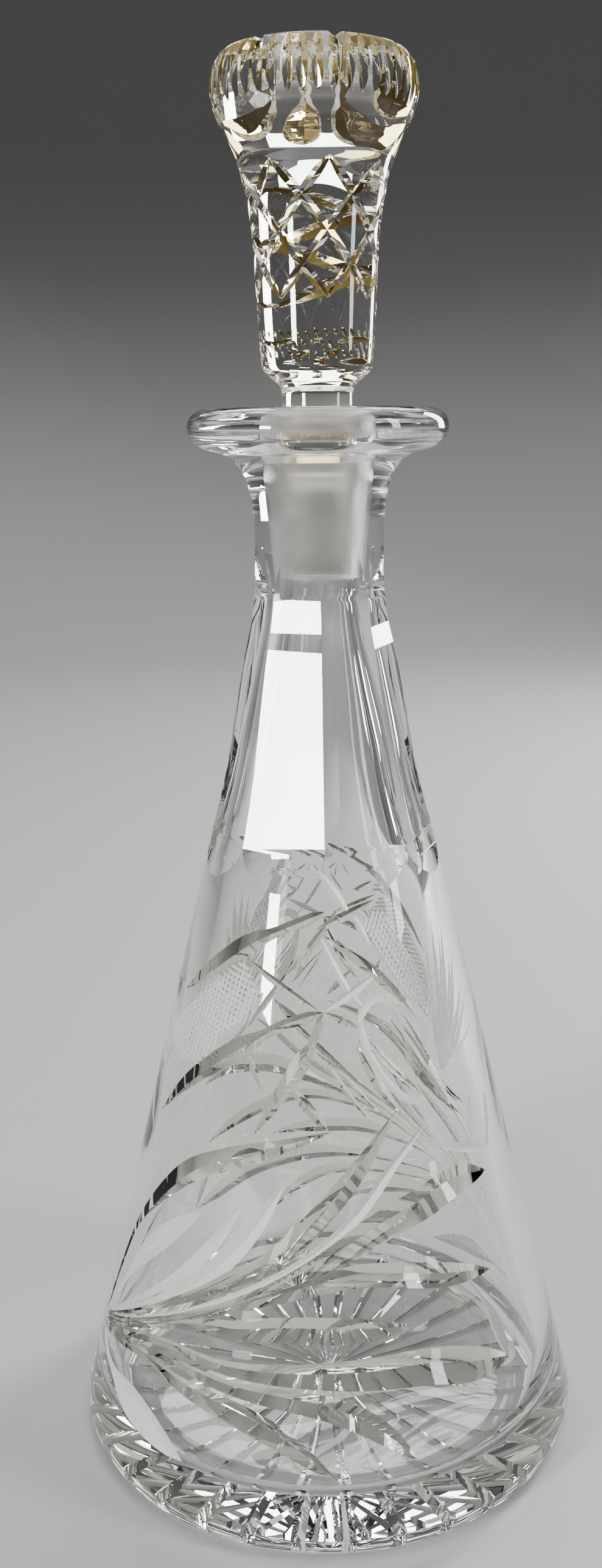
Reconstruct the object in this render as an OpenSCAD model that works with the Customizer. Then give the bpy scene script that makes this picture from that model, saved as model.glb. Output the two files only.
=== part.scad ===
// Cut crystal decanter: a tapering blown bottle with a thick base and a
// fluted neck, and its ground-in stopper. Millimetres, +Z up, the base
// stands on Z = 0 and the front of the cut pattern faces -Y.

/* [Size] */
// overall height with the stopper in
overall_height = 345; // [344:0.5:348]
// widest radius, just above the foot
body_radius = 65.4; // [62:0.1:68]
// wall thickness of the cone
wall = 6.2; // [5:0.1:7.5]
// top of the solid glass base
floor_height = 9; // [8:0.5:14]

/* [Neck and lip] */
// top of the lip
lip_top = 265; // [264.8:0.1:266]
// radius of the rounded lip
lip_radius = 32; // [30:0.5:34]
// number of flat flutes round the neck
flute_count = 8; // [6:1:10]

/* [Ground joint] */
// peg radius at its lower end
peg_low_radius = 7.3; // [6.8:0.1:7.6]
// peg radius at the mouth
peg_top_radius = 9.4; // [9:0.1:9.5]
// radial gap between peg and bore
peg_gap = 0.06; // [0.02:0.01:0.1]

/* [Cutting] */
// depth of the deepest leaf cut
leaf_depth = 2.1; // [1:0.1:3]
// times the leaf pattern goes round the body
pattern_repeats = 2; // [1:1:3]
// rays of the star under the base
star_rays = 30; // [16:2:36]
// upright mitres round the stopper rim
rim_mitres = 44; // [24:2:48]
// crossing grooves each way round the stopper
lattice_count = 8; // [6:1:12]

/* [Preview] */
// which piece to draw

/* [Hidden] */
$fn = 96;
e = 0.01;
peg_bottom = 225;
peg_top = 262.5;
neck_bottom = 177;

// outside of the blank before any flute or leaf is cut: [height, radius]
blank = [[6, body_radius - 0.1], [neck_bottom, 23.9], [186, 22.9],
         [194, 21.6], [202, 20.0], [208, 18.6], [213, 17.2], [218, 16.3],
         [224, 16.05], [238, 16.15], [244, 16.9], [248.5, 18.2],
         [252, 20.4]];
// outside of the stopper head: [height, radius]
head = [[268.5, 8.7], [274.3, 13.3], [281.7, 14.0], [290, 14.45],
        [299.6, 14.9], [308, 15.6], [315.4, 16.8], [321.8, 18.6],
        [328, 21.3], [333.4, 23.8], [337.6, 24.6], [342, 24.1],
        [overall_height, 22.4]];

function on_blank(z) = lookup(z, blank);
function on_head(z) = lookup(z, head);
function peg_radius(z) = peg_low_radius + (peg_top_radius - peg_low_radius)
    * (z - peg_bottom) / (peg_top - peg_bottom);
// a point at azimuth a, height z and radius r
function at(a, z, r) = [r * sin(a), -r * cos(a), z];
function unit(v) = v / norm(v);

// A mitre cut: a V groove that follows a bent line over a turned surface.
// line = [[azimuth, height] start, middle, end]
function bend(l, t) = l[0] * (1 - t) * (1 - t) + l[1] * 2 * t * (1 - t)
    + l[2] * t * t;
function swell(t, k) = pow(sin(180 * pow(t, k)), 0.8);

module mitre(line, half, depth, k = 1, n = 10, over = 1.5, stopper = false) {
    ts = [for (i = [0:n]) i / n];
    q = [for (t = ts) bend(line, t)];
    r = [for (p = q) stopper ? on_head(p[1]) : on_blank(p[1])];
    c = [for (i = [0:n]) at(q[i][0], q[i][1], r[i])];
    tan = [for (i = [0:n]) unit(c[min(i + 1, n)] - c[max(i - 1, 0)])];
    side = [for (i = [0:n]) unit(cross(tan[i],
        [sin(q[i][0]), -cos(q[i][0]), stopper ? 0 : 0.24]))];
    up = [for (i = [0:n]) unit(cross(side[i], tan[i]))];
    g = [for (t = ts) max(0.06, swell(t, k))];
    pts = [for (i = [0:n]) each [
        c[i] - up[i] * depth * g[i],
        c[i] + up[i] * over + side[i] * half * (g[i] + over / depth),
        c[i] + up[i] * over - side[i] * half * (g[i] + over / depth)]];
    polyhedron(points = pts, faces = concat(
        [[2, 1, 0]], [[3 * n, 3 * n + 1, 3 * n + 2]],
        [for (i = [0:n - 1]) for (j = [0:2]) each
            [[3 * i + j, 3 * i + (j + 1) % 3, 3 * i + 3 + j],
             [3 * i + (j + 1) % 3, 3 * i + 3 + (j + 1) % 3, 3 * i + 3 + j]]]));
}

// the leaf spray and the flower above it, one repeat:
// [start, middle, end, half width, depth share, swell place]
leaves = [
    [[-80, 30], [-66, 84], [2, 97], 2.6, 0.8, 1.3],
    [[-78, 34], [-62, 60], [-39, 74], 2.0, 0.8, 1.2],
    [[-70, 34], [-45, 70], [-12, 85], 2.2, 0.8, 1.3],
    [[-66, 34], [-40, 58], [-19, 67], 1.6, 0.7, 1.2],
    [[-60, 38], [-25, 78], [22, 99], 3.4, 1.0, 1.5],
    [[-50, 38], [0, 66], [54, 78], 3.0, 0.9, 1.8],
    [[-45, 36], [0, 56], [47, 56], 2.6, 0.9, 1.5],
    [[-60, 32], [-20, 48], [22, 50], 2.0, 0.8, 1.2],
    [[-40, 30], [0, 40], [49, 33], 3.2, 1.0, 1.8],
    [[-50, 28], [-8, 36], [26, 19], 2.6, 0.9, 1.5],
    [[-62, 28], [-25, 33], [1, 20], 2.4, 0.8, 1.3],
    [[-74, 27], [-55, 28], [-34, 18], 2.8, 0.8, 1.2],
    [[0, 147], [-34, 146], [-71, 123], 2.4, 0.8, 1.3],
    [[-2, 123], [-28, 119], [-55, 99], 2.4, 0.8, 1.3],
    [[-3, 121], [-6, 110], [-23, 96], 2.0, 0.8, 1.2],
    [[12, 116], [16, 106], [24, 99], 1.5, 0.7, 1],
    [[-4, 157], [4, 152], [11, 148], 1.2, 0.6, 1],
    [[-2, 143], [11, 145], [23, 149], 1.4, 0.6, 1],
    [[-3, 142], [-6, 137], [-12, 132], 1.4, 0.6, 1],
    [[-1, 141], [4, 136], [8, 129], 1.4, 0.6, 1],
    [[0, 124], [9, 129], [20, 131], 1.4, 0.6, 1],
    [[19, 132], [26, 128], [36, 122], 1.4, 0.6, 1]
];

module blank_profile() {
    polygon(concat(
        [[0, 0], [61.8, 0], [63.4, 0.8], [64.8, 2.6], [body_radius, 4.6]],
        [for (p = blank) [p[1], p[0]]],
        [[23.7, 254], [27.6, 254.9], [lip_radius - 1.4, 256.6],
         [lip_radius - 0.3, 258.6], [lip_radius, 260.2],
         [lip_radius - 0.5, 262.2], [lip_radius - 2, 263.8],
         [lip_radius - 4.6, 264.7], [lip_radius - 8, lip_top],
         [10.2, lip_top], [9.5 + peg_gap, 263.6],
         [peg_radius(peg_top) + peg_gap, peg_top],
         [peg_radius(222) + peg_gap, 222], [7.6, 217], [9.0, 208],
         [11.6, 196], [14.8, 183], [18.6, 168],
         [on_blank(150) - wall, 150], [on_blank(34) - wall, 34],
         [on_blank(floor_height + 9) - wall, floor_height + 9],
         [on_blank(floor_height + 6) - wall - 0.5, floor_height + 5.6],
         [on_blank(floor_height + 4) - wall - 2.4, floor_height + 2.6],
         [on_blank(floor_height + 2) - wall - 5.6, floor_height + 0.8],
         [on_blank(floor_height) - wall - 11, floor_height + 0.1],
         [0, floor_height]]));
}

module flute() {
    // flat across, bent along the neck
    translate([15, 0, 0]) rotate([90, 0, -90]) linear_extrude(30)
        polygon([[16.6, 237], [15.6, 229], [15.0, 220], [15.8, 213],
                 [17.5, 205], [19.7, 192], [22.0, 177], [24.5, 165],
                 [26.9, 157], [30.2, 151], [40, 151], [40, 237]]);
}

module base_star() {
    // one cutter: a valley along each ray, a ridge between two rays, and
    // every ray runs out to a point inside the foot ring
    n = star_rays;
    rim = [for (i = [0:2 * n - 1]) let (a = 4.5 + i * 180 / n)
        (i % 2 == 0) ? at(a, -0.12, 58) : at(a, -0.12, 17)];
    top = concat(rim, [[0, 0, 2.2]]);
    low = [for (p = top) [p[0], p[1], -1]];
    m = 2 * n;
    polyhedron(points = concat(top, low), faces = concat(
        [for (i = [0:m - 1]) let (j = (i + 1) % m) each [
            [j, i, m], [i + m + 1, j + m + 1, 2 * m + 1],
            [i, j, j + m + 1, i + m + 1]]]));
}

module decanter_body() {
    color([0.93, 0.95, 0.94, 0.6])
    difference() {
        rotate_extrude() blank_profile();
        for (i = [0:flute_count - 1])
            rotate(22.5 + i * 360 / flute_count) flute();
        base_star();
        for (k = [0:pattern_repeats - 1]) rotate(k * 360 / pattern_repeats)
            for (l = leaves)
                mitre([l[0], l[1], l[2]], l[3], leaf_depth * l[4], l[5]);
    }
}

module stopper() {
    color([0.95, 0.93, 0.85, 0.6])
    difference() {
        rotate_extrude() polygon(concat(
            [[0, peg_bottom], [peg_low_radius - 0.6, peg_bottom],
             [peg_low_radius, peg_bottom + 0.6],
             [peg_top_radius, peg_top], [8.8, 263.6], [8.7, 268.3]],
            [for (p = head) [p[1], p[0]]],
            [[21, overall_height + 0.6], [0, overall_height + 0.6]]));
        // upright mitres round the rim
        for (i = [0:rim_mitres - 1]) rotate(i * 360 / rim_mitres)
            polyhedron(points = [
                [0, -22.7, 332.6], [2.6, -26.8, 330], [-2.6, -26.8, 330],
                [0, -21.6, 347], [2.6, -26.8, 347], [-2.6, -26.8, 347]],
                faces = [[2, 1, 0], [3, 4, 5], [4, 3, 0], [1, 4, 0],
                         [5, 4, 1], [2, 5, 1], [3, 5, 2], [0, 3, 2]]);
        // crossing grooves
        for (i = [0:lattice_count - 1]) rotate(i * 360 / lattice_count)
            for (s = [-1, 1])
                mitre([[10 - 45 * s, 289], [10, 305], [10 + 45 * s, 320]],
                      1.9, 1.15, 1, 9, 0.7, true);
        // star on the top
        for (i = [0:3]) rotate(i * 45) translate([0, 30, overall_height + 0.7])
            rotate([90, 0, 0]) linear_extrude(60)
                polygon([[0, -1.6], [2.4, 0.3], [-2.4, 0.3]]);
    }
}

decanter_body();
stopper();
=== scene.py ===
import math

import bpy
import numpy as np
from mathutils import Matrix, Vector
from mathutils.kdtree import KDTree


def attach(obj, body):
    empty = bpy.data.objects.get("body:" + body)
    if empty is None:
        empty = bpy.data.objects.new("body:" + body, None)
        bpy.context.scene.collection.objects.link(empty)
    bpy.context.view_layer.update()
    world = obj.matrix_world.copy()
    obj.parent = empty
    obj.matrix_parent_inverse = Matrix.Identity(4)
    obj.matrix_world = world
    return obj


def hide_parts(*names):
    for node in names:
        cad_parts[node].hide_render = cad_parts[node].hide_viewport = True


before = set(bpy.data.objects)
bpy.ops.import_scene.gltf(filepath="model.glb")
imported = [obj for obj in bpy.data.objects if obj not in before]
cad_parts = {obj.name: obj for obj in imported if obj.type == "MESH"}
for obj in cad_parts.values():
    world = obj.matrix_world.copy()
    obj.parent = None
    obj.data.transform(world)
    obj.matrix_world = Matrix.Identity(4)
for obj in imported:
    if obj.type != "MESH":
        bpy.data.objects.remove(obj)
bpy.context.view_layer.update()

scene = bpy.context.scene
MM = 0.001

# ------------------------------------------------------------------ profiles
# All lengths here are millimetres, in the CAD's own frame: azimuth 0 faces -Y.


def mono(x, xs, ys, d0=None):
    """Smooth curve through points that never overshoots them."""
    xs, ys = np.asarray(xs, float), np.asarray(ys, float)
    h = np.diff(xs)
    s = np.diff(ys) / h
    d = np.zeros_like(ys)
    for i in range(1, len(xs) - 1):
        if s[i - 1] * s[i] > 0:
            w1, w2 = 2 * h[i] + h[i - 1], h[i] + 2 * h[i - 1]
            d[i] = (w1 + w2) / (w1 / s[i - 1] + w2 / s[i])
    d[0] = s[0] if d0 is None else d0
    d[-1] = s[-1]
    x = np.asarray(x, float)
    k = np.clip(np.searchsorted(xs, x) - 1, 0, len(xs) - 2)
    t = (x - xs[k]) / h[k]
    return (
        ys[k] * (1 + 2 * t) * (1 - t) ** 2
        + h[k] * d[k] * t * (1 - t) ** 2
        + ys[k + 1] * t * t * (3 - 2 * t)
        + h[k] * d[k + 1] * t * t * (t - 1)
    )


NECK = [(158, 28.48), (169, 25.72), (177, 24.0), (186, 22.85), (194, 21.6), (202, 20.0),
        (208, 18.6), (213, 17.2), (218, 16.3), (224, 16.05), (238, 16.15),
        (244, 16.9), (248.5, 18.2), (252, 20.4)]
SLOPE = -41.4 / 171.0


def r_body(z):
    z = np.asarray(z, float)
    cone = 65.3 + (z - 6) * SLOPE
    neck = mono(z, [p[0] for p in NECK], [p[1] for p in NECK], SLOPE)
    return np.where(z < 158, cone, neck)


HEAD = [(268.5, 8.7), (269.6, 8.9), (274.3, 13.3), (281.7, 14.0), (290, 14.45), (299.6, 14.9),
        (308, 15.6), (315.4, 16.8), (321.8, 18.6), (328, 21.3), (333.4, 23.8),
        (337.6, 24.6), (342, 24.1), (345, 22.4)]


def r_head(z):
    return mono(z, [p[0] for p in HEAD], [p[1] for p in HEAD])


def catmull(pts, n, closed=False):
    """Points along a smooth curve through pts, n to each span."""
    p = np.asarray(pts, float)
    q = np.vstack([2 * p[0] - p[1], p, 2 * p[-1] - p[-2]])
    out = []
    for i in range(1, len(q) - 2):
        t = np.arange(n)[:, None] / n
        a, b, c, d = q[i - 1], q[i], q[i + 1], q[i + 2]
        out.append(0.5 * (2 * b + (c - a) * t + (2 * a - 5 * b + 4 * c - d) * t ** 2
                          + (3 * b - a - 3 * c + d) * t ** 3))
    return np.vstack(out + [p[-1:]])


# ------------------------------------------------------------------ mesh help
POLISHED, CUT, FROST, GROUND = 0, 1, 2, 3


def new_object(name, verts, faces, mats=None):
    me = bpy.data.meshes.new(name)
    me.from_pydata([tuple(v) for v in np.asarray(verts) * MM], [], faces)
    me.update()
    ob = bpy.data.objects.new(name, me)
    scene.collection.objects.link(ob)
    for m in GLASS:
        me.materials.append(m)
    if mats is not None:
        me.polygons.foreach_set("material_index", np.asarray(mats, np.int32))
    return ob


def revolve(name, prof, nseg, mat_of=None, wave=None):
    """A closed turned solid from a profile of (r, z) that starts and ends on the axis."""
    verts, rings = [], []
    a = np.arange(nseg) * 2 * np.pi / nseg
    for r, z in prof:
        if r < 1e-6:
            rings.append([len(verts)])
            verts.append((0, 0, z))
        else:
            rr = np.full(nseg, r) if wave is None else r + wave(a, r, z)
            rings.append(list(range(len(verts), len(verts) + nseg)))
            verts += list(zip(rr * np.sin(a), -rr * np.cos(a), np.full(nseg, z)))
    faces, mats = [], []
    for i in range(len(rings) - 1):
        lo, hi = rings[i], rings[i + 1]
        m = 0 if mat_of is None else mat_of(prof[i], prof[i + 1])
        for j in range(nseg):
            k = (j + 1) % nseg
            if len(lo) == 1:
                faces.append((lo[0], hi[k], hi[j]))
            elif len(hi) == 1:
                faces.append((lo[j], lo[k], hi[0]))
            else:
                faces.append((lo[j], lo[k], hi[k], hi[j]))
            mats.append(m)
    return new_object(name, verts, faces, mats)


def tube(sections, mat):
    """Verts and faces of a closed tube through the given sections (lists of points in order)."""
    n, m = len(sections), len(sections[0])
    verts = [p for s in sections for p in s]
    faces = [tuple(range(m))[::-1], tuple((n - 1) * m + j for j in range(m))]
    for i in range(n - 1):
        for j in range(m):
            k = (j + 1) % m
            faces.append((i * m + j, i * m + k, (i + 1) * m + k, (i + 1) * m + j))
    return verts, faces, [mat] * len(faces)


WALLS = []     # (points, normals) along the walls of the V cuts made so far


def keep_walls(sec, up, deep, over):
    """Remember where each wall of a V cut lies and the way it truly faces."""
    a = np.array([[q for q in s_] for s_ in sec])
    for side in (1, 2):
        for part in (0.05, 0.35, 0.65, 0.95):
            k = (part * deep / (deep + over))[:, None]
            p = a[:, 0] + (a[:, side] - a[:, 0]) * k
            nrm = np.cross(np.gradient(p, axis=0), a[:, side] - a[:, 0])
            nrm /= np.maximum(np.linalg.norm(nrm, axis=1), 1e-9)[:, None]
            nrm *= np.sign(np.einsum("ij,ij->i", nrm, up))[:, None]
            WALLS.append((p, nrm))


def turned_walls(walls, deg):
    a = math.radians(deg)
    m = np.array([[math.cos(a), math.sin(a), 0], [-math.sin(a), math.cos(a), 0], [0, 0, 1]])
    return [(p @ m, q @ m) for p, q in walls]


def groove(line, half, depth, kind="mitre", mat=CUT, n=20, rfun=r_body, over=1.0, section="v",
           peak=0.72, stem=0.2, remember=True):
    """A wheel cut that follows line, a list of (azimuth, height), over a turned surface."""
    p = catmull(line, 24) if len(line) > 2 else np.linspace(line[0], line[-1], 25)
    xyz = on_surface(p[:, 0], p[:, 1], rfun)
    s = np.r_[0, np.cumsum(np.linalg.norm(np.diff(xyz, axis=0), axis=1))]
    t = np.linspace(0, 1, n + 1)
    if kind in ("leaf", "mitre", "olive"):
        t = 0.5 - 0.5 * np.cos(np.pi * t) if kind != "leaf" else 0.6 * t + 0.4 * (0.5 - 0.5 * np.cos(np.pi * t))
    q = np.c_[np.interp(t * s[-1], s, p[:, 0]), np.interp(t * s[-1], s, p[:, 1])]
    c = on_surface(q[:, 0], q[:, 1], rfun)
    tan = np.gradient(c, axis=0)
    tan /= np.linalg.norm(tan, axis=1)[:, None]
    nor = surface_normal(q[:, 0], q[:, 1], rfun)
    side = np.cross(tan, nor)
    side /= np.linalg.norm(side, axis=1)[:, None]
    up = np.cross(side, tan)
    if kind == "leaf":
        a = np.clip((t - 0.25) / (peak - 0.25), 0, 1)
        b = np.clip((1 - t) / (1 - peak), 0, 1)
        g = stem * np.minimum(1, t / 0.06) ** 0.7 + (1 - stem) * (a * a * (3 - 2 * a))
        g = np.where(t > peak, (1 - (1 - b) ** 2.2), g)
    elif kind == "blade":
        g = np.minimum(1, 0.25 + t / 0.42) * np.clip((1 - t) / 0.72, 0, 1) ** 0.8
    elif kind == "band":
        g = np.minimum(1, np.minimum(t, 1 - t) / 0.12) ** 0.6
    else:
        g = np.sin(np.pi * t) ** 0.8
    g = np.maximum(g, 0.015)
    dd = depth * g ** (0.75 if kind == "leaf" else 1.0)
    sec = []
    for i in range(n + 1):
        w, d = half * g[i], dd[i]
        if section == "v":
            k = over / max(d, 0.25)
            pts = [(0, -d), (w * (1 + k), over), (-w * (1 + k), over)]
        else:
            pts = [(x * w, -d * (1 - x * x)) for x in (-0.55, 0, 0.55)]
            e = w * (1 + 0.35 * over / max(d, 0.2))
            pts = [(-w, 0.0)] + pts + [(w, 0.0), (e, over), (-e, over)]
        sec.append([c[i] + side[i] * u + up[i] * v for u, v in pts])
    if section == "v" and remember:
        keep_walls(sec, up, dd, over)
    return tube(sec, mat)


def on_surface(a, z, rfun):
    a = np.radians(a)
    r = rfun(z)
    return np.c_[r * np.sin(a), -r * np.cos(a), z]


def surface_normal(a, z, rfun):
    a = np.radians(a)
    dz = 0.05
    s = (rfun(z + dz) - rfun(z - dz)) / (2 * dz)
    k = 1 / np.sqrt(1 + s * s)
    return np.c_[np.sin(a) * k, -np.cos(a) * k, -s * k]


def merge(parts):
    verts, faces, mats = [], [], []
    for v, f, m in parts:
        o = len(verts)
        verts += list(v)
        faces += [tuple(i + o for i in q) for q in f]
        mats += m
    return verts, faces, mats


def turn(part, deg):
    v, f, m = part
    a = math.radians(deg)
    c, s = math.cos(a), math.sin(a)
    return [(p[0] * c - p[1] * s, p[0] * s + p[1] * c, p[2]) for p in v], f, m


def outward(part):
    """Face order that points out of a closed part, judged by its signed volume."""
    v, f, m = part
    p = np.asarray(v, float)
    vol = 0.0
    for q in f:
        for i in range(1, len(q) - 1):
            vol += np.dot(p[q[0]], np.cross(p[q[i]], p[q[i + 1]]))
    return (v, [q[::-1] for q in f], m) if vol < 0 else part


def boolean(ob, other, op):
    md = ob.modifiers.new("cut", "BOOLEAN")
    md.operation, md.solver, md.object = op, "MANIFOLD", other
    dg = bpy.context.evaluated_depsgraph_get()
    me = bpy.data.meshes.new_from_object(ob.evaluated_get(dg))
    ob.modifiers.clear()
    old = ob.data
    ob.data = me
    bpy.data.meshes.remove(old)
    om = other.data
    bpy.data.objects.remove(other)
    bpy.data.meshes.remove(om)
    if len(me.polygons) == 0:
        raise RuntimeError("boolean came out empty")
    return ob


def union_all(parts, name="tool"):
    obs = [new_object(name, *outward(p)) for p in parts]
    while len(obs) > 1:
        nxt = [boolean(obs[i], obs[i + 1], "UNION") for i in range(0, len(obs) - 1, 2)]
        if len(obs) % 2:
            nxt.append(obs[-1])
        obs = nxt
    return obs[0]


def get_part(ob):
    me = ob.data
    v = np.empty(len(me.vertices) * 3, np.float32)
    me.vertices.foreach_get("co", v)
    out = (list(v.reshape(-1, 3).astype(float) / MM), [tuple(p.vertices) for p in me.polygons],
           [p.material_index for p in me.polygons])
    bpy.data.objects.remove(ob)
    bpy.data.meshes.remove(me)
    return out


def cut_groups(ob, groups):
    """Cut each group of parts out of ob. The parts of a group may overlap each other."""
    for parts in groups:
        tool = union_all(parts)
        boolean(ob, tool, "DIFFERENCE")
    return ob


def cut_apart(ob, parts):
    """Cut parts that don't touch each other, in one pass."""
    boolean(ob, new_object("tool", *merge([outward(p) for p in parts])), "DIFFERENCE")


def finish_normals(ob, rfun, zlo, zhi, walls, keep=22.0):
    """True surface normals on the turned skin, and creases at every cut edge."""
    me = ob.data
    me.validate()
    me.polygons.foreach_set("use_smooth", np.ones(len(me.polygons), bool))
    n_e = len(me.edges)
    ev = np.empty(n_e * 2, np.int32)
    me.edges.foreach_get("vertices", ev)
    sharp = np.zeros(n_e, bool)
    edge_faces = [[] for _ in range(n_e)]
    le = np.empty(len(me.loops), np.int32)
    me.loops.foreach_get("edge_index", le)
    mi = np.empty(len(me.polygons), np.int32)
    me.polygons.foreach_get("material_index", mi)
    nrm = np.empty(len(me.polygons) * 3, np.float32)
    me.polygons.foreach_get("normal", nrm)
    nrm = nrm.reshape(-1, 3)
    ls = np.empty(len(me.polygons), np.int32)
    lt = np.empty(len(me.polygons), np.int32)
    me.polygons.foreach_get("loop_start", ls)
    me.polygons.foreach_get("loop_total", lt)
    lp = np.repeat(np.arange(len(me.polygons)), lt)
    order = np.argsort(le, kind="stable")
    es, ps = le[order], lp[order]
    first = np.searchsorted(es, np.arange(n_e))
    f0 = ps[np.minimum(first, len(ps) - 1)]
    f1 = ps[np.minimum(first + 1, len(ps) - 1)]
    dot = np.einsum("ij,ij->i", nrm[f0], nrm[f1])
    sharp = (dot < math.cos(math.radians(keep))) | (mi[f0] != mi[f1])
    me.edges.foreach_get("vertices", ev)
    attr = me.attributes.get("sharp_edge") or me.attributes.new("sharp_edge", "BOOLEAN", "EDGE")
    attr.data.foreach_set("value", sharp)
    me.update()
    cn = np.empty(len(me.loops) * 3, np.float32)
    me.corner_normals.foreach_get("vector", cn)
    cn = cn.reshape(-1, 3).copy()
    vi = np.empty(len(me.loops), np.int32)
    me.loops.foreach_get("vertex_index", vi)
    co = np.empty(len(me.vertices) * 3, np.float32)
    me.vertices.foreach_get("co", co)
    co = co.reshape(-1, 3)[vi] / MM
    r = np.hypot(co[:, 0], co[:, 1])
    z = co[:, 2]
    zz = np.clip(z, zlo, zhi)
    skin = (mi[lp] == POLISHED) & (z > zlo - 1e-3) & (z < zhi + 1e-3) & (abs(r - rfun(zz)) < 0.06)
    az = np.degrees(np.arctan2(co[:, 0], -co[:, 1]))
    true = surface_normal(az, zz, rfun)
    near = np.einsum("ij,ij->i", true, nrm[lp]) > 0.985
    cn[skin & near] = true[skin & near]
    wp, wn = np.vstack([w[0] for w in walls]), np.vstack([w[1] for w in walls])
    tree = KDTree(len(wp))
    for i, p in enumerate(wp):
        tree.insert(p, i)
    tree.balance()
    for i in np.nonzero((mi[lp] == CUT) | (mi[lp] == FROST))[0]:
        f = nrm[lp[i]]
        acc = np.zeros(3)
        for _, j, d in tree.find_n(co[i], 10):
            if d < 1.6 and wn[j] @ f > 0.93:
                acc += wn[j] / (d * d + 0.02)
        ln = math.sqrt(acc @ acc)
        if ln > 0:
            cn[i] = acc / ln
    me.normals_split_custom_set(cn.tolist())
    me.update()


# ------------------------------------------------------------------ materials
def glass(name, rough, rough_var, tint, bump, scale, haze=None, density=0.0, vol=(1, 1, 1), ior=1.545, clear=1.0):
    m = bpy.data.materials.new(name)
    m.use_nodes = True
    nt = m.node_tree
    nt.nodes.clear()
    out = nt.nodes.new("ShaderNodeOutputMaterial")
    b = nt.nodes.new("ShaderNodeBsdfPrincipled")
    nt.links.new(b.outputs["BSDF"], out.inputs["Surface"])
    b.inputs["Transmission Weight"].default_value = clear
    b.inputs["IOR"].default_value = ior
    b.inputs["Metallic"].default_value = 0.0
    tc = nt.nodes.new("ShaderNodeTexCoord")
    big = nt.nodes.new("ShaderNodeTexNoise")
    big.inputs["Scale"].default_value = scale
    big.inputs["Detail"].default_value = 3.0
    nt.links.new(tc.outputs["Object"], big.inputs["Vector"])
    ramp = nt.nodes.new("ShaderNodeMapRange")
    ramp.inputs["From Min"].default_value = 0.35
    ramp.inputs["From Max"].default_value = 0.7
    ramp.inputs["To Min"].default_value = max(0.0, rough - rough_var)
    ramp.inputs["To Max"].default_value = rough + rough_var
    nt.links.new(big.outputs["Fac"], ramp.inputs["Value"])
    nt.links.new(ramp.outputs["Result"], b.inputs["Roughness"])
    mix = nt.nodes.new("ShaderNodeMix")
    mix.data_type = "RGBA"
    mix.inputs["A"].default_value = (*tint, 1)
    mix.inputs["B"].default_value = (*(haze or tuple(min(1.0, c * 1.012) for c in tint)), 1)
    nt.links.new(big.outputs["Fac"], mix.inputs["Factor"])
    nt.links.new(mix.outputs["Result"], b.inputs["Base Color"])
    fine = nt.nodes.new("ShaderNodeTexNoise")
    fine.inputs["Scale"].default_value = scale * (14 if rough > 0.1 else 2.2)
    fine.inputs["Detail"].default_value = 2.0
    nt.links.new(tc.outputs["Object"], fine.inputs["Vector"])
    bp = nt.nodes.new("ShaderNodeBump")
    bp.inputs["Strength"].default_value = bump
    bp.inputs["Distance"].default_value = 0.0004
    nt.links.new(fine.outputs["Fac"], bp.inputs["Height"])
    nt.links.new(bp.outputs["Normal"], b.inputs["Normal"])
    if density > 0:
        va = nt.nodes.new("ShaderNodeVolumeAbsorption")
        va.inputs["Color"].default_value = (*vol, 1)
        va.inputs["Density"].default_value = density
        nt.links.new(va.outputs["Volume"], out.inputs["Volume"])
    return m


BODY_TINT = dict(density=3.0, vol=(0.975, 0.974, 0.966))
HEAD_TINT = dict(density=5.0, vol=(0.985, 0.968, 0.90))


def glass_set(prefix, tint):
    return [
        glass(prefix + "_polished", 0.003, 0.003, (0.998, 0.998, 0.996), 0.015, 60, **tint),
        glass(prefix + "_cut_polished", 0.012, 0.010, (0.996, 0.996, 0.992), 0.04, 140, **tint),
        glass(prefix + "_cut_frosted", 0.30, 0.07, (0.985, 0.985, 0.98), 0.45, 420, haze=(1, 1, 1), clear=0.55, **tint),
        glass(prefix + "_ground", 0.12, 0.05, (0.985, 0.985, 0.98), 0.25, 300, haze=(1, 1, 1), clear=0.88, **tint),
    ]


GLASS = glass_set("glass_bottle", BODY_TINT)

# ------------------------------------------------------------------ the bottle
PEG_LO, PEG_HI, R_LO, R_HI, GAP = 225.0, 262.5, 7.3, 9.4, 0.06


def r_peg(z):
    return R_LO + (R_HI - R_LO) * (z - PEG_LO) / (PEG_HI - PEG_LO)


def bottle_profile():
    p = [(0, 0), (14, 0), (30, 0), (46, 0), (57, 0), (61.3, 0)]
    for k in range(1, 8):
        a = math.pi / 2 * k / 7
        p.append((61.3 + 4.1 * math.sin(a), 5.4 * (1 - math.cos(a))))
    p.append((65.36, 5.9))
    p += [(float(r_body(z)), z) for z in np.r_[np.arange(7, 158, 4.5), np.arange(158, 251.9, 2.0)]]
    lip = catmull([(20.4, 252), (23.7, 254), (27.6, 255.0), (30.5, 256.7), (31.75, 258.7), (32, 260.4),
                   (31.5, 262.3), (30.1, 263.9), (27.6, 264.75), (24, 265)], 5)
    p += [tuple(q) for q in lip]
    p += [(20, 265), (15, 265), (11.2, 265)]
    p += [(10.6, 264.85), (10.1, 264.4), (9.75, 263.7), (r_peg(PEG_HI) + GAP, PEG_HI)]
    p += [(r_peg(z) + GAP, z) for z in (255, 247, 239, 231, 224)]
    inner = catmull([(r_peg(222) + GAP, 222), (7.6, 217), (9.0, 208), (11.6, 196), (14.8, 183), (18.4, 168.5),
                     (24.2, 150)], 5)
    p += [tuple(q) for q in inner]
    p += [(float(r_body(z)) - 6.2, z) for z in np.arange(145, 20, -5.0)]
    p += [tuple(q) for q in catmull([(56.2, 18), (56.2, 14.6), (55.0, 11.6), (52.3, 9.85), (47.4, 9.1), (40, 9.0)], 5)]
    p += [(28, 9.0), (16, 9.0), (7, 9.0), (0, 9.0)]
    return p


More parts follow.
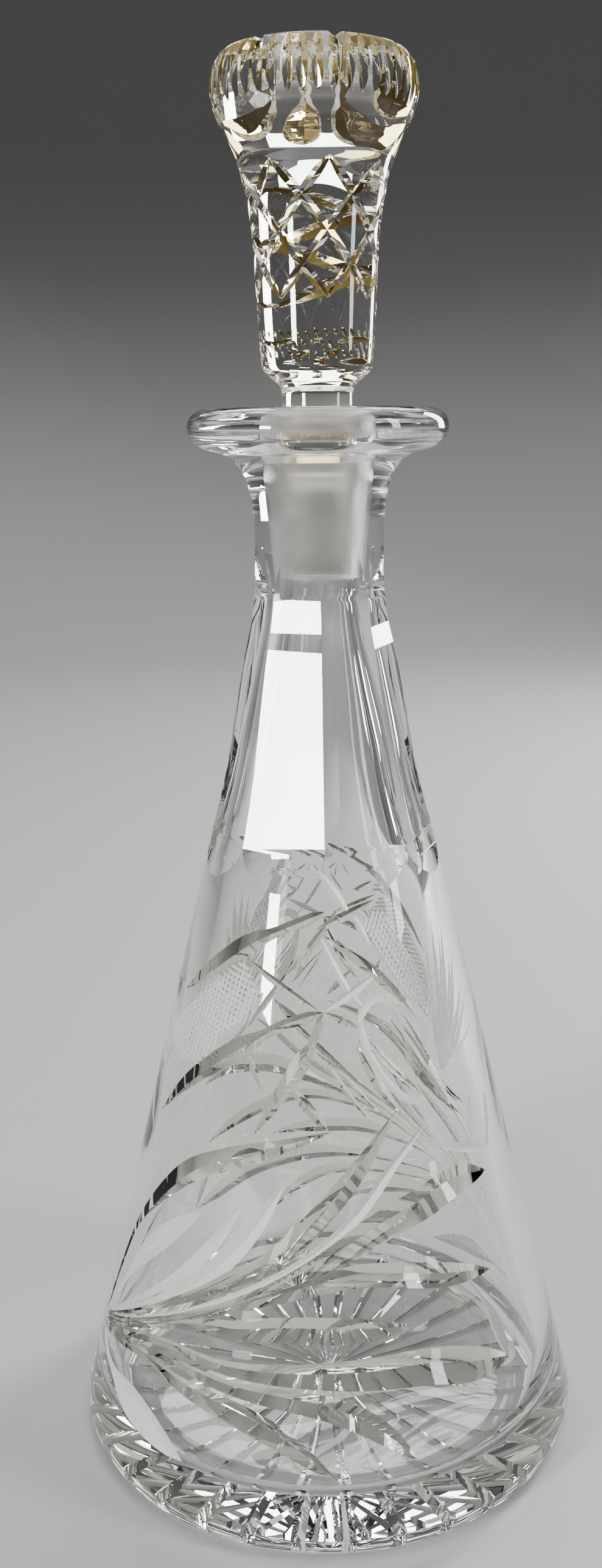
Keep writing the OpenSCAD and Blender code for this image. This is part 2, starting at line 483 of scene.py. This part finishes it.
def blown(a, r, z):
    """The slight unevenness of a blown inside surface."""
    if not (18 < z < 200) or r > float(r_body(z)) - 3 or r < 10:
        return 0.0
    k = min(1.0, (z - 18) / 20, (200 - z) / 30)
    return k * (0.11 * np.sin(3 * a + 0.045 * z) + 0.07 * np.sin(5 * a - 0.07 * z + 1.3)
                + 0.06 * np.sin(2 * a + 0.11 * z + 2.1) + 0.03 * np.sin(9 * a + 0.16 * z))


def body_mat(p, q):
    z = (p[1] + q[1]) / 2
    r = (p[0] + q[0]) / 2
    return GROUND if 224 <= z <= 262.5 and r < 9.6 else POLISHED


body = revolve("decanter_glass", bottle_profile(), 240, body_mat, blown)

# neck flutes: flat across, bent along the neck
fl = catmull([(17.2, 240), (16.2, 234), (15.45, 227), (15.0, 220), (15.75, 213), (17.4, 205), (19.6, 192),
              (22.0, 177), (24.55, 165), (26.9, 157), (30.4, 150.4)], 5)
flute = []
for s, x in ((-1, -15.0), (1, 15.0)):
    flute.append([(x, -r, z) for r, z in fl] + [(x, -44, 150.4), (x, -44, 240)])
fv = flute[0] + flute[1]
m = len(flute[0])
ff = [tuple(range(m)), tuple(range(2 * m - 1, m - 1, -1))]
ff += [(j, m + j, m + (j + 1) % m, (j + 1) % m) for j in range(m)]
flute = (fv, ff, [POLISHED] * len(ff))
for i in range(8):
    boolean(body, new_object("tool", *outward(turn(flute, 22.5 + 45 * i + 1.0))), "DIFFERENCE")

# star under the base: wheel cuts that run out from the centre and lift off at the rim
N_RAY = 30
RAY = [(1.6, 0.12), (6, 0.32), (14, 0.62), (26, 1.0), (38, 1.32), (48, 1.55), (54, 1.62), (57.5, 1.5), (59.6, 1.1), (60.8, 0.35)]
rays = []
for i in range(N_RAY):
    sec = []
    for r, w in [tuple(q) for q in catmull(RAY, 3)]:
        k = 1.0 / (0.95 * w + 0.02)
        sec.append([(0, -r, 0.95 * w + 0.02), (-w * (1 + k), -r, -1.0), (w * (1 + k), -r, -1.0)])
    rays.append(turn(tube(sec, CUT), 4.5 + i * 360 / N_RAY))
boolean(body, union_all(rays), "DIFFERENCE")

# the leaf spray: lines of (azimuth, height), half width, depth, finish, peak
LEAVES = [
    ([(-80, 30), (-74, 47), (-66, 63), (-48, 80), (-31, 88), (-14, 93), (2, 97)], 2.9, 1.7, CUT, 0.62),
    ([(-79, 31), (-71, 42), (-60, 56), (-49, 66), (-38, 74)], 3.0, 1.5, FROST, 0.66),
    ([(-78, 31), (-52, 50), (-39, 61), (-31, 70), (-25, 79)], 1.8, 1.0, FROST, 0.74),
    ([(-78, 31), (-48, 50), (-34, 60), (-23, 71), (-12, 85)], 2.6, 1.5, FROST, 0.72),
    ([(-78, 30), (-49, 48), (-34, 57), (-26, 62), (-18, 66)], 1.8, 1.1, CUT, 0.76),
    ([(-79, 30), (-33, 57), (-15, 67), (-5, 75), (3, 82), (12, 90), (23, 100)], 2.7, 1.9, CUT, 0.74),
    ([(-79, 30), (-28, 56), (-7, 67), (8, 77), (21, 88), (34, 96)], 1.4, 0.9, FROST, 0.8),
    ([(-78, 30), (-24, 56), (2, 69), (17, 75), (30, 78), (42, 80), (56, 78)], 4.0, 1.9, CUT, 0.86),
    ([(-78, 30), (-33, 52), (-11, 60), (6, 64), (19, 63), (33, 60), (49, 56)], 3.0, 1.7, CUT, 0.84),
    ([(-78, 29), (-42, 46), (-23, 50), (-10, 52), (5, 52), (22, 51)], 3.2, 1.7, CUT, 0.78),
    ([(-78, 29), (-47, 40), (-26, 41), (-6, 42), (9, 42), (25, 41), (39, 37), (50, 34)], 4.4, 2.0, CUT, 0.86),
    ([(-77, 29), (-46, 37), (-26, 37), (-6, 36), (5, 33), (13, 28), (20, 21)], 2.9, 1.7, CUT, 0.82),
    ([(-77, 28), (-52, 34), (-35, 33), (-21, 31), (-10, 27), (2, 19)], 3.0, 1.6, CUT, 0.72),
    ([(-79, 27), (-71, 24.5), (-60, 22.5), (-48, 20.5), (-34, 16.5)], 4.1, 1.7, FROST, 0.58),
    ([(40, 57), (46, 47), (50, 33)], 2.0, 1.2, FROST, 0.6),
]
# flower above the spray: straight and slightly bent mitres
MITRES = [
    ([(-3, 157), (4, 152), (12, 146)], 1.2, 0.8, FROST),
    ([(-3, 143), (10, 146), (24, 149)], 1.2, 0.9, CUT),
    ([(12, 147), (20, 138)], 0.9, 0.7, FROST),
    ([(-2, 142), (-12, 131)], 0.6, 0.5, CUT),
    ([(7, 148), (-15, 132)], 0.9, 0.7, CUT),
    ([(-2, 142), (8, 130), (17, 123)], 0.9, 0.7, FROST),
    ([(-1, 142), (19, 133), (33, 123), (38, 118)], 1.3, 0.9, CUT),
    ([(-33, 135), (-18, 130), (-1, 124)], 0.9, 0.7, CUT),
    ([(-17, 131), (-29, 119)], 0.8, 0.6, CUT),
    ([(-1, 124), (10, 128), (21, 132)], 1.2, 0.9, FROST),
    ([(0, 124), (13, 120)], 0.9, 0.7, CUT),
    ([(11, 117), (18, 107), (25, 99)], 1.4, 1.0, CUT),
    ([(-28, 113), (-21, 105)], 0.9, 0.6, CUT),
    ([(-13, 108), (1, 97)], 1.3, 0.9, CUT),
    ([(-5, 116), (7, 109), (19, 99)], 0.6, 0.5, CUT),
    ([(-2, 115), (8, 105), (15, 98)], 0.6, 0.5, CUT),
]
PETALS = [
    ([(1, 147), (-16, 143), (-33, 138), (-51, 130), (-69, 121)], 2.5, 1.6, CUT, 0.45),
    ([(0, 124), (-14, 121), (-29, 115), (-43, 108), (-56, 100), (-68, 90)], 2.6, 1.6, CUT, 0.4),
    ([(0, 124), (-6, 115), (-13, 107), (-23, 95)], 2.2, 1.4, CUT, 0.35),
]
BANDS = [
    ([(12, 121), (17, 126), (25, 126), (33, 123), (38, 119), (39, 115), (37, 111)], 1.3, 0.35),
    ([(13, 122), (14, 117), (17, 112), (21, 107), (28, 102), (35, 101)], 1.0, 0.3),
    ([(33, 97), (38, 90), (48, 86), (58, 83)], 1.1, 0.3),
    ([(59, 82), (63, 88), (66, 94)], 1.1, 0.3),
]
LINES = [
    ([(16, 122), (26, 115), (36, 104), (48, 94)], 0.5, 0.4),
    ([(22, 124), (31, 114), (40, 102), (51, 92)], 0.5, 0.4),
    ([(14, 119), (22, 112), (34, 102)], 0.45, 0.35),
    ([(29, 123), (36, 114), (43, 103), (53, 95)], 0.5, 0.4),
    ([(19, 123), (28, 115), (38, 103), (45, 96)], 0.45, 0.35),
    ([(25, 124), (34, 114), (42, 103), (50, 96)], 0.45, 0.35),
    ([(15, 116), (22, 110), (31, 103)], 0.4, 0.3),
]
TUFT = [((43.5, 106), (44, 131), 1.1), ((43, 106), (47.5, 137), 1.7), ((43.5, 106), (51.5, 134), 1.3), ((44, 106), (54, 141), 1.8),
        ((44, 106), (58, 137), 1.4), ((44.5, 106), (61.5, 139), 1.7), ((44.5, 106), (63, 131), 1.6), ((45, 106), (67, 132), 1.8),
        ((45, 106), (68, 123), 1.5), ((45, 106), (71, 120), 1.4), ((45, 106), (69, 112), 1.1)]

spray = []
for line, w, d, mat, pk in LEAVES:
    spray.append(groove(line, w, d, "leaf", mat, 84, peak=pk, stem=0.24))
tool_a = get_part(union_all(spray))
flower = [groove(l, w, d, "olive", mt, 30) for l, w, d, mt in MITRES]
flower += [groove(l, w, d, "leaf", mt, 64, peak=pk, stem=0.5) for l, w, d, mt, pk in PETALS]
tool_b = get_part(union_all(flower))
tool_b2 = get_part(union_all([p for i, p in enumerate(flower) if i not in (0, 2, 4)]))
bands = [groove(l, w, d, "band", FROST, 40, section="u", over=0.6) for l, w, d in BANDS]
tool_c = get_part(union_all(bands))
fine = [groove(l, w, d, "olive", CUT, 14, over=0.6) for l, w, d in LINES]
tool_d = get_part(union_all(fine))
tuft = [groove([a, b], w, 0.55, "blade", FROST, 24, over=0.6) for a, b, w in TUFT]
tool_e = get_part(union_all(tuft))
def eased(part, k=1.007):
    """The same cuts moved a little outward, so that they come out shallower and narrower."""
    return [(x * k, y * k, z) for x, y, z in part[0]], part[1], part[2]


for tool, back in ((tool_a, eased(tool_a)), (tool_b, eased(tool_b2)), (tool_c, tool_c), (tool_d, tool_d), (tool_e, tool_e)):
    boolean(body, new_object("tool", *merge([tool, turn(back, 180)])), "DIFFERENCE")


def hatch(poly, direction, pitch, half, depth, mat):
    """Fine parallel engraved lines that fill a polygon of (azimuth, height)."""
    poly = np.asarray(poly, float)
    mid = poly.mean(0)
    k = np.radians(1) * float(r_body(mid[1]))
    flat = np.c_[(poly[:, 0] - mid[0]) * k, poly[:, 1] - mid[1]]
    a = math.radians(direction)
    u, v = np.array([math.cos(a), math.sin(a)]), np.array([-math.sin(a), math.cos(a)])
    fu, fv_ = flat @ u, flat @ v
    out = []
    c = fv_.min() + pitch * 0.7
    while c < fv_.max() - pitch * 0.3:
        hits = []
        for i in range(len(flat)):
            j = (i + 1) % len(flat)
            if (fv_[i] - c) * (fv_[j] - c) < 0:
                t = (c - fv_[i]) / (fv_[j] - fv_[i])
                hits.append(fu[i] + t * (fu[j] - fu[i]))
        hits.sort()
        for h0, h1 in zip(hits[::2], hits[1::2]):
            if h1 - h0 > 1.5:
                ends = [u * h0 + v * c, u * h1 + v * c]
                line = [(e[0] / k + mid[0], e[1] + mid[1]) for e in ends]
                out.append(groove(line, half, depth, "band", mat, 7, over=0.4, remember=False))
        c += pitch
    return out


HATCH_L = [(-40, 133), (-33, 134), (-23, 127), (-30, 119), (-39, 115), (-46, 107), (-60, 103), (-73, 108),
           (-71, 114), (-61, 121), (-52, 128)]
HATCH_R = [(22, 147), (27, 147), (34, 139), (41, 130), (45, 124), (43, 119), (39, 119), (30, 127), (21, 137), (16, 143)]
for poly, d1, d2, gap in ((HATCH_L, 80, -12, 1.38), (HATCH_R, 62, 118, 1.15)):
    for d in (d1, d2):
        lines = hatch(poly, d, gap, 0.36, 0.26, FROST)
        cut_apart(body, lines + [turn(p, 180) for p in lines])
finish_normals(body, r_body, 7.0, 251.0, WALLS + turned_walls(WALLS, 180))
WALLS = []

# ------------------------------------------------------------------ the stopper
def stopper_profile():
    p = [(0, PEG_LO), (4, PEG_LO), (6.7, PEG_LO), (7.1, 225.15), (r_peg(225.8), 225.8)]
    p += [(r_peg(z), z) for z in (232, 240, 248, 256, PEG_HI)]
    p += [(9.1, 263.1), (8.8, 263.7), (8.7, 264.6), (8.7, 267.6)]
    p += [(float(r_head(z)), z) for z in np.r_[268.5, 269.4, np.arange(270.2, 274.2, 0.8), 274.3, 275.2,
                                                np.arange(277, 320, 2.5), np.arange(320.6, 344.9, 1.4)]]
    p += [(22.4, 345), (21.9, 345.45), (21, 345.6), (15, 345.6), (8, 345.6), (0, 345.6)]
    return p


def head_mat(p, q):
    z = (p[1] + q[1]) / 2
    return GROUND if z < 262.4 else POLISHED


GLASS = glass_set("glass_stopper", HEAD_TINT)
head = revolve("stopper_glass", stopper_profile(), 200, head_mat)
N_RIM = 44
rim = []
prof = catmull([(24.35, 332.0), (23.15, 333.6), (23.0, 337.6), (22.6, 342), (21.4, 346.5)], 5)
for i in range(N_RIM):
    sec = []
    for j, (r, z) in enumerate(prof):
        w = 1.9 * min(1.0, 0.25 + j / 6)
        out = 27.0
        k = (out - r) / 1.35
        sec.append([(0, -r, z), (w * k * 0.62, -out, z), (-w * k * 0.62, -out, z)])
    rim.append(turn(tube(sec, CUT), i * 360 / N_RIM + 2))
tool_r = get_part(union_all(rim))
boolean(head, new_object("tool", *tool_r), "DIFFERENCE")
lat = []
for i in range(8):
    for s in (-1, 1):
        line = [(10.5 + 45 * i - 46 * s, 289.5), (10.5 + 45 * i - 23 * s, 297), (10.5 + 45 * i, 304.6),
                (10.5 + 45 * i + 23 * s, 312.5), (10.5 + 45 * i + 46 * s, 320.5)]
        lat.append(groove(line, 1.15, 0.85, "band", CUT, 60, rfun=r_head, over=0.9))
tool_l = get_part(union_all(lat))
boolean(head, new_object("tool", *tool_l), "DIFFERENCE")
nicks = []
for row, (z, off) in enumerate(((281.6, 0), (279.2, 4.5), (276.9, 0))):
    for i in range(40):
        a = i * 9 + off
        u, v = math.sin(12.9898 * (i + 1) + 78.233 * row), math.sin(39.425 * (i + 1) + 11.17 * row)
        z1, ln = z + 0.35 * u, 0.85 + 0.22 * v
        nicks.append(groove([(a - 2.7 * ln, z1 + 1.2 * ln), (a + 2.7 * ln, z1 - 1.2 * ln)], 0.5 + 0.08 * v, 0.26 + 0.05 * u,
                            "olive", CUT, 10, rfun=r_head, over=0.4))
tool_n = get_part(union_all(nicks))
boolean(head, new_object("tool", *tool_n), "DIFFERENCE")
star = []
for i in range(4):
    a = math.radians(45 * i + 12)
    sec = []
    for t in (-30, 30):
        c, s = math.cos(a), math.sin(a)
        sec.append([(t * s, -t * c, 344.2), (t * s + 2.4 * c, -t * c + 2.4 * s, 346.2),
                    (t * s - 2.4 * c, -t * c - 2.4 * s, 346.2)])
    star.append(tube(sec, CUT))
boolean(head, union_all(star), "DIFFERENCE")
finish_normals(head, r_head, 276.0, 344.0, WALLS)

for ob, node, bodyname, slot in ((body, "decanter_body", "bottle", "clear_glass"),
                                 (head, "stopper", "stopper", "stopper_glass")):
    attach(ob, bodyname)
    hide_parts(node)

# ------------------------------------------------------------------ studio
def plain(name, color, rough):
    m = bpy.data.materials.new(name)
    m.use_nodes = True
    b = m.node_tree.nodes["Principled BSDF"]
    b.inputs["Base Color"].default_value = (*color, 1)
    b.inputs["Roughness"].default_value = rough
    return m


# a seamless pale floor that sweeps up into a backdrop all the way round
prof = [(0.0, -0.0003)] + [(r, -0.0003) for r in (0.3, 0.8, 1.3)]
prof += [(1.3 + 0.9 * math.sin(a), -0.0003 + 0.9 * (1 - math.cos(a))) for a in np.linspace(0.12, math.pi / 2, 12)]
prof += [(2.2, 1.6), (2.2, 2.4)]
nb = 96
vb, fb = [(0, 0, -0.0003)], []
for r, z in prof[1:]:
    vb += [(r * math.sin(2 * math.pi * j / nb), -r * math.cos(2 * math.pi * j / nb), z) for j in range(nb)]
for j in range(nb):
    fb.append((0, 1 + j, 1 + (j + 1) % nb))
for i in range(len(prof) - 2):
    for j in range(nb):
        a, b = 1 + i * nb, 1 + (i + 1) * nb
        k = (j + 1) % nb
        fb.append((a + j, b + j, b + k, a + k))
fm = bpy.data.meshes.new("floor")
fm.from_pydata(vb, [], fb)
fm.polygons.foreach_set("use_smooth", [True] * len(fb))
fm.update()
floor = bpy.data.objects.new("floor", fm)
scene.collection.objects.link(floor)
stage_mat = plain("floor_pale", (0.46, 0.46, 0.457), 0.8)
nt = stage_mat.node_tree
geo = nt.nodes.new("ShaderNodeNewGeometry")
sep = nt.nodes.new("ShaderNodeSeparateXYZ")
fade = nt.nodes.new("ShaderNodeMapRange")
fade.interpolation_type = "SMOOTHSTEP"
fade.inputs["From Min"].default_value = -0.02
fade.inputs["From Max"].default_value = 0.75
tone = nt.nodes.new("ShaderNodeMix")
tone.data_type = "RGBA"
tone.inputs["A"].default_value = (0.46, 0.46, 0.457, 1)
tone.inputs["B"].default_value = (0.17, 0.17, 0.175, 1)
nt.links.new(geo.outputs["Position"], sep.inputs["Vector"])
nt.links.new(sep.outputs["Z"], fade.inputs["Value"])
nt.links.new(fade.outputs["Result"], tone.inputs["Factor"])
nt.links.new(tone.outputs["Result"], nt.nodes["Principled BSDF"].inputs["Base Color"])
floor.data.materials.append(stage_mat)

world = bpy.data.worlds.new("studio")
scene.world = world
world.use_nodes = True
bg = world.node_tree.nodes["Background"]
bg.inputs["Color"].default_value = (0.80, 0.82, 0.86, 1)
bg.inputs["Strength"].default_value = 0.22


def area(name, loc, target, size, power, color=(1, 1, 1)):
    li = bpy.data.lights.new(name, "AREA")
    li.shape = "RECTANGLE"
    li.size, li.size_y = size
    li.energy = power
    li.color = color
    ob = bpy.data.objects.new(name, li)
    scene.collection.objects.link(ob)
    ob.location = loc
    d = Vector(target) - Vector(loc)
    ob.rotation_euler = d.to_track_quat("-Z", "Y").to_euler()
    return ob


area("window", (-0.86, -0.86, 0.325), (0, 0, 0.20), (0.22, 0.32), 15, (1.0, 0.985, 0.96))
area("back", (0.0, 1.35, 1.30), (0, 0, 0.05), (1.3, 0.5), 9, (1.0, 0.99, 0.97))
area("top", (0.0, -0.1, 1.55), (0, 0, 0.1), (1.1, 1.1), 9, (1.0, 0.99, 0.97))
area("fill", (0.95, -0.35, 0.55), (0, 0, 0.15), (0.16, 0.8), 5, (0.97, 0.98, 1.0))
area("edge", (0.80, 0.80, 0.55), (0, 0, 0.12), (0.30, 0.75), 13, (1.0, 0.975, 0.93))

# ------------------------------------------------------------------ camera
K = 1.055
D, H, PITCH, ROLL = 340.4 * K * MM, 245.8 * K * MM, math.radians(10.55), math.radians(0.63)
cam = bpy.data.cameras.new("camera")
cam.sensor_fit = "VERTICAL"
cam.sensor_height = 36.0
cam.sensor_width = 24.0
cam.lens = 2372 / 2576 * 36.0
cam.shift_x = -(527.2 - 494.5) / 2576
cam.shift_y = -(1288 - 1150) / 2576
cam.clip_start = 0.01
cam.clip_end = 50
co = bpy.data.objects.new("camera", cam)
scene.collection.objects.link(co)
fwd = Vector((0, math.cos(PITCH), -math.sin(PITCH)))
up = Vector((0, math.sin(PITCH), math.cos(PITCH)))
right = Vector((1, 0, 0))
# the picture's objects lean left by ROLL, so the camera leans right
r2 = right * math.cos(ROLL) - up * math.sin(ROLL)
u2 = up * math.cos(ROLL) + right * math.sin(ROLL)
co.matrix_world = Matrix(((r2.x, u2.x, -fwd.x, 0), (r2.y, u2.y, -fwd.y, -D), (r2.z, u2.z, -fwd.z, H), (0, 0, 0, 1)))
scene.camera = co

scene.cycles.max_bounces = 28
scene.cycles.transmission_bounces = 28
scene.cycles.glossy_bounces = 10
scene.cycles.diffuse_bounces = 4
scene.cycles.transparent_max_bounces = 12
scene.cycles.volume_bounces = 0
scene.cycles.caustics_refractive = True
scene.cycles.caustics_reflective = True
scene.cycles.sample_clamp_indirect = 6.0
scene.cycles.blur_glossy = 0.2
scene.view_settings.view_transform = "AgX"
scene.view_settings.look = "AgX - Medium High Contrast"

for ob in (body, head):
    print("FACES", ob.name, len(ob.data.polygons), sum(len(p.vertices) - 2 for p in ob.data.polygons))
